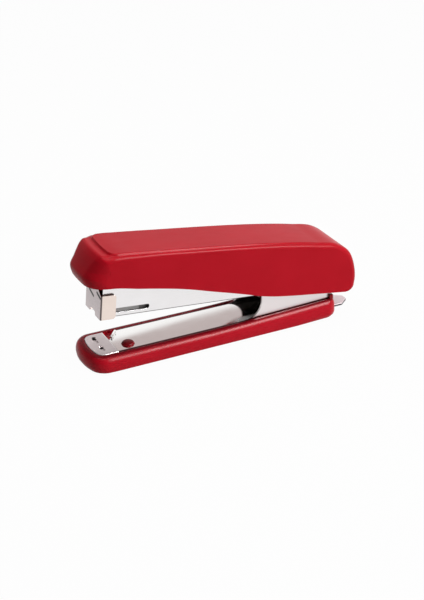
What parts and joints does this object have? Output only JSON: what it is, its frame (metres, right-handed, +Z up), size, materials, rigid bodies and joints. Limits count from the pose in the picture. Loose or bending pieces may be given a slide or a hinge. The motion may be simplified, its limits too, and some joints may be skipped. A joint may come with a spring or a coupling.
{
  "type": "desk stapler",
  "caption": "Hand stapler for the desk: a moulded cover and sprung driver over a folded steel magazine, hinged on a long base with an anvil plate and a staple remover blade at the tail.",
  "frame": {"origin": "on the desk, under the middle of the base, at the face of the rubber sole", "axes": "+X from the nose to the hinge end, +Y across to the far side, +Z up from the desk"},
  "size_m": [0.1382, 0.0288, 0.0564],
  "materials": {
    "shell_plastic": "glossy red moulded plastic",
    "cover_plastic": "semi-gloss red moulded plastic",
    "sole_rubber": "matte black rubber",
    "bright_plate": "nickel plated, mirror bright",
    "satin_anvil": "satin nickel",
    "sheet_steel": "nickel plated sheet steel",
    "spring_steel": "blue-grey spring steel",
    "plain_steel": "plain steel",
    "pusher_plastic": "dark grey moulded plastic"
  },
  "bodies": {
    "base": {"base_shell": "shell_plastic", "sole_pad": "sole_rubber", "base_plate": "bright_plate", "anvil_plate": "satin_anvil", "remover_blade": "sheet_steel", "tail_rivets": "plain_steel", "lift_spring": "spring_steel", "hinge_pin": "plain_steel"},
    "magazine": {"magazine_channel": "sheet_steel", "head_plate": "sheet_steel", "staple_rail": "plain_steel", "rail_block": "pusher_plastic", "block_rivet": "plain_steel", "spring_rod": "plain_steel", "hinge_bush": "plain_steel", "pusher_spring": "spring_steel"},
    "pusher": {"pusher": "pusher_plastic"},
    "cover": {"top_cover": "cover_plastic", "press_arm": "plain_steel", "driver_blade": "plain_steel", "press_spring": "spring_steel", "arm_rivets": "plain_steel", "cover_screws": "plain_steel"}
  },
  "joints": [
    {"name": "magazine_hinge", "type": "hinge", "parent": "base", "child": "magazine", "pos_m": [0.0554, 0, 0.018], "axis": [0, 1, 0], "range_deg": [-8.28, 0], "stiffness_Nm_per_rad": 1, "springref_deg": 8.59, "deforming": ["lift_spring"]},
    {"name": "cover_hinge", "type": "hinge", "parent": "magazine", "child": "cover", "pos_m": [0.0554, 0, 0.018], "axis": [0, 1, 0], "range_deg": [-4, 28], "stiffness_Nm_per_rad": 0.6, "springref_deg": 2.29, "deforming": ["press_spring"]},
    {"name": "pusher_slide", "type": "slide", "parent": "magazine", "child": "pusher", "axis": [0.9963, 0, -0.0854], "range_m": [0, 0.04], "stiffness_N_per_m": 40, "springref_m": -0.02, "deforming": ["pusher_spring"]}
  ]
}
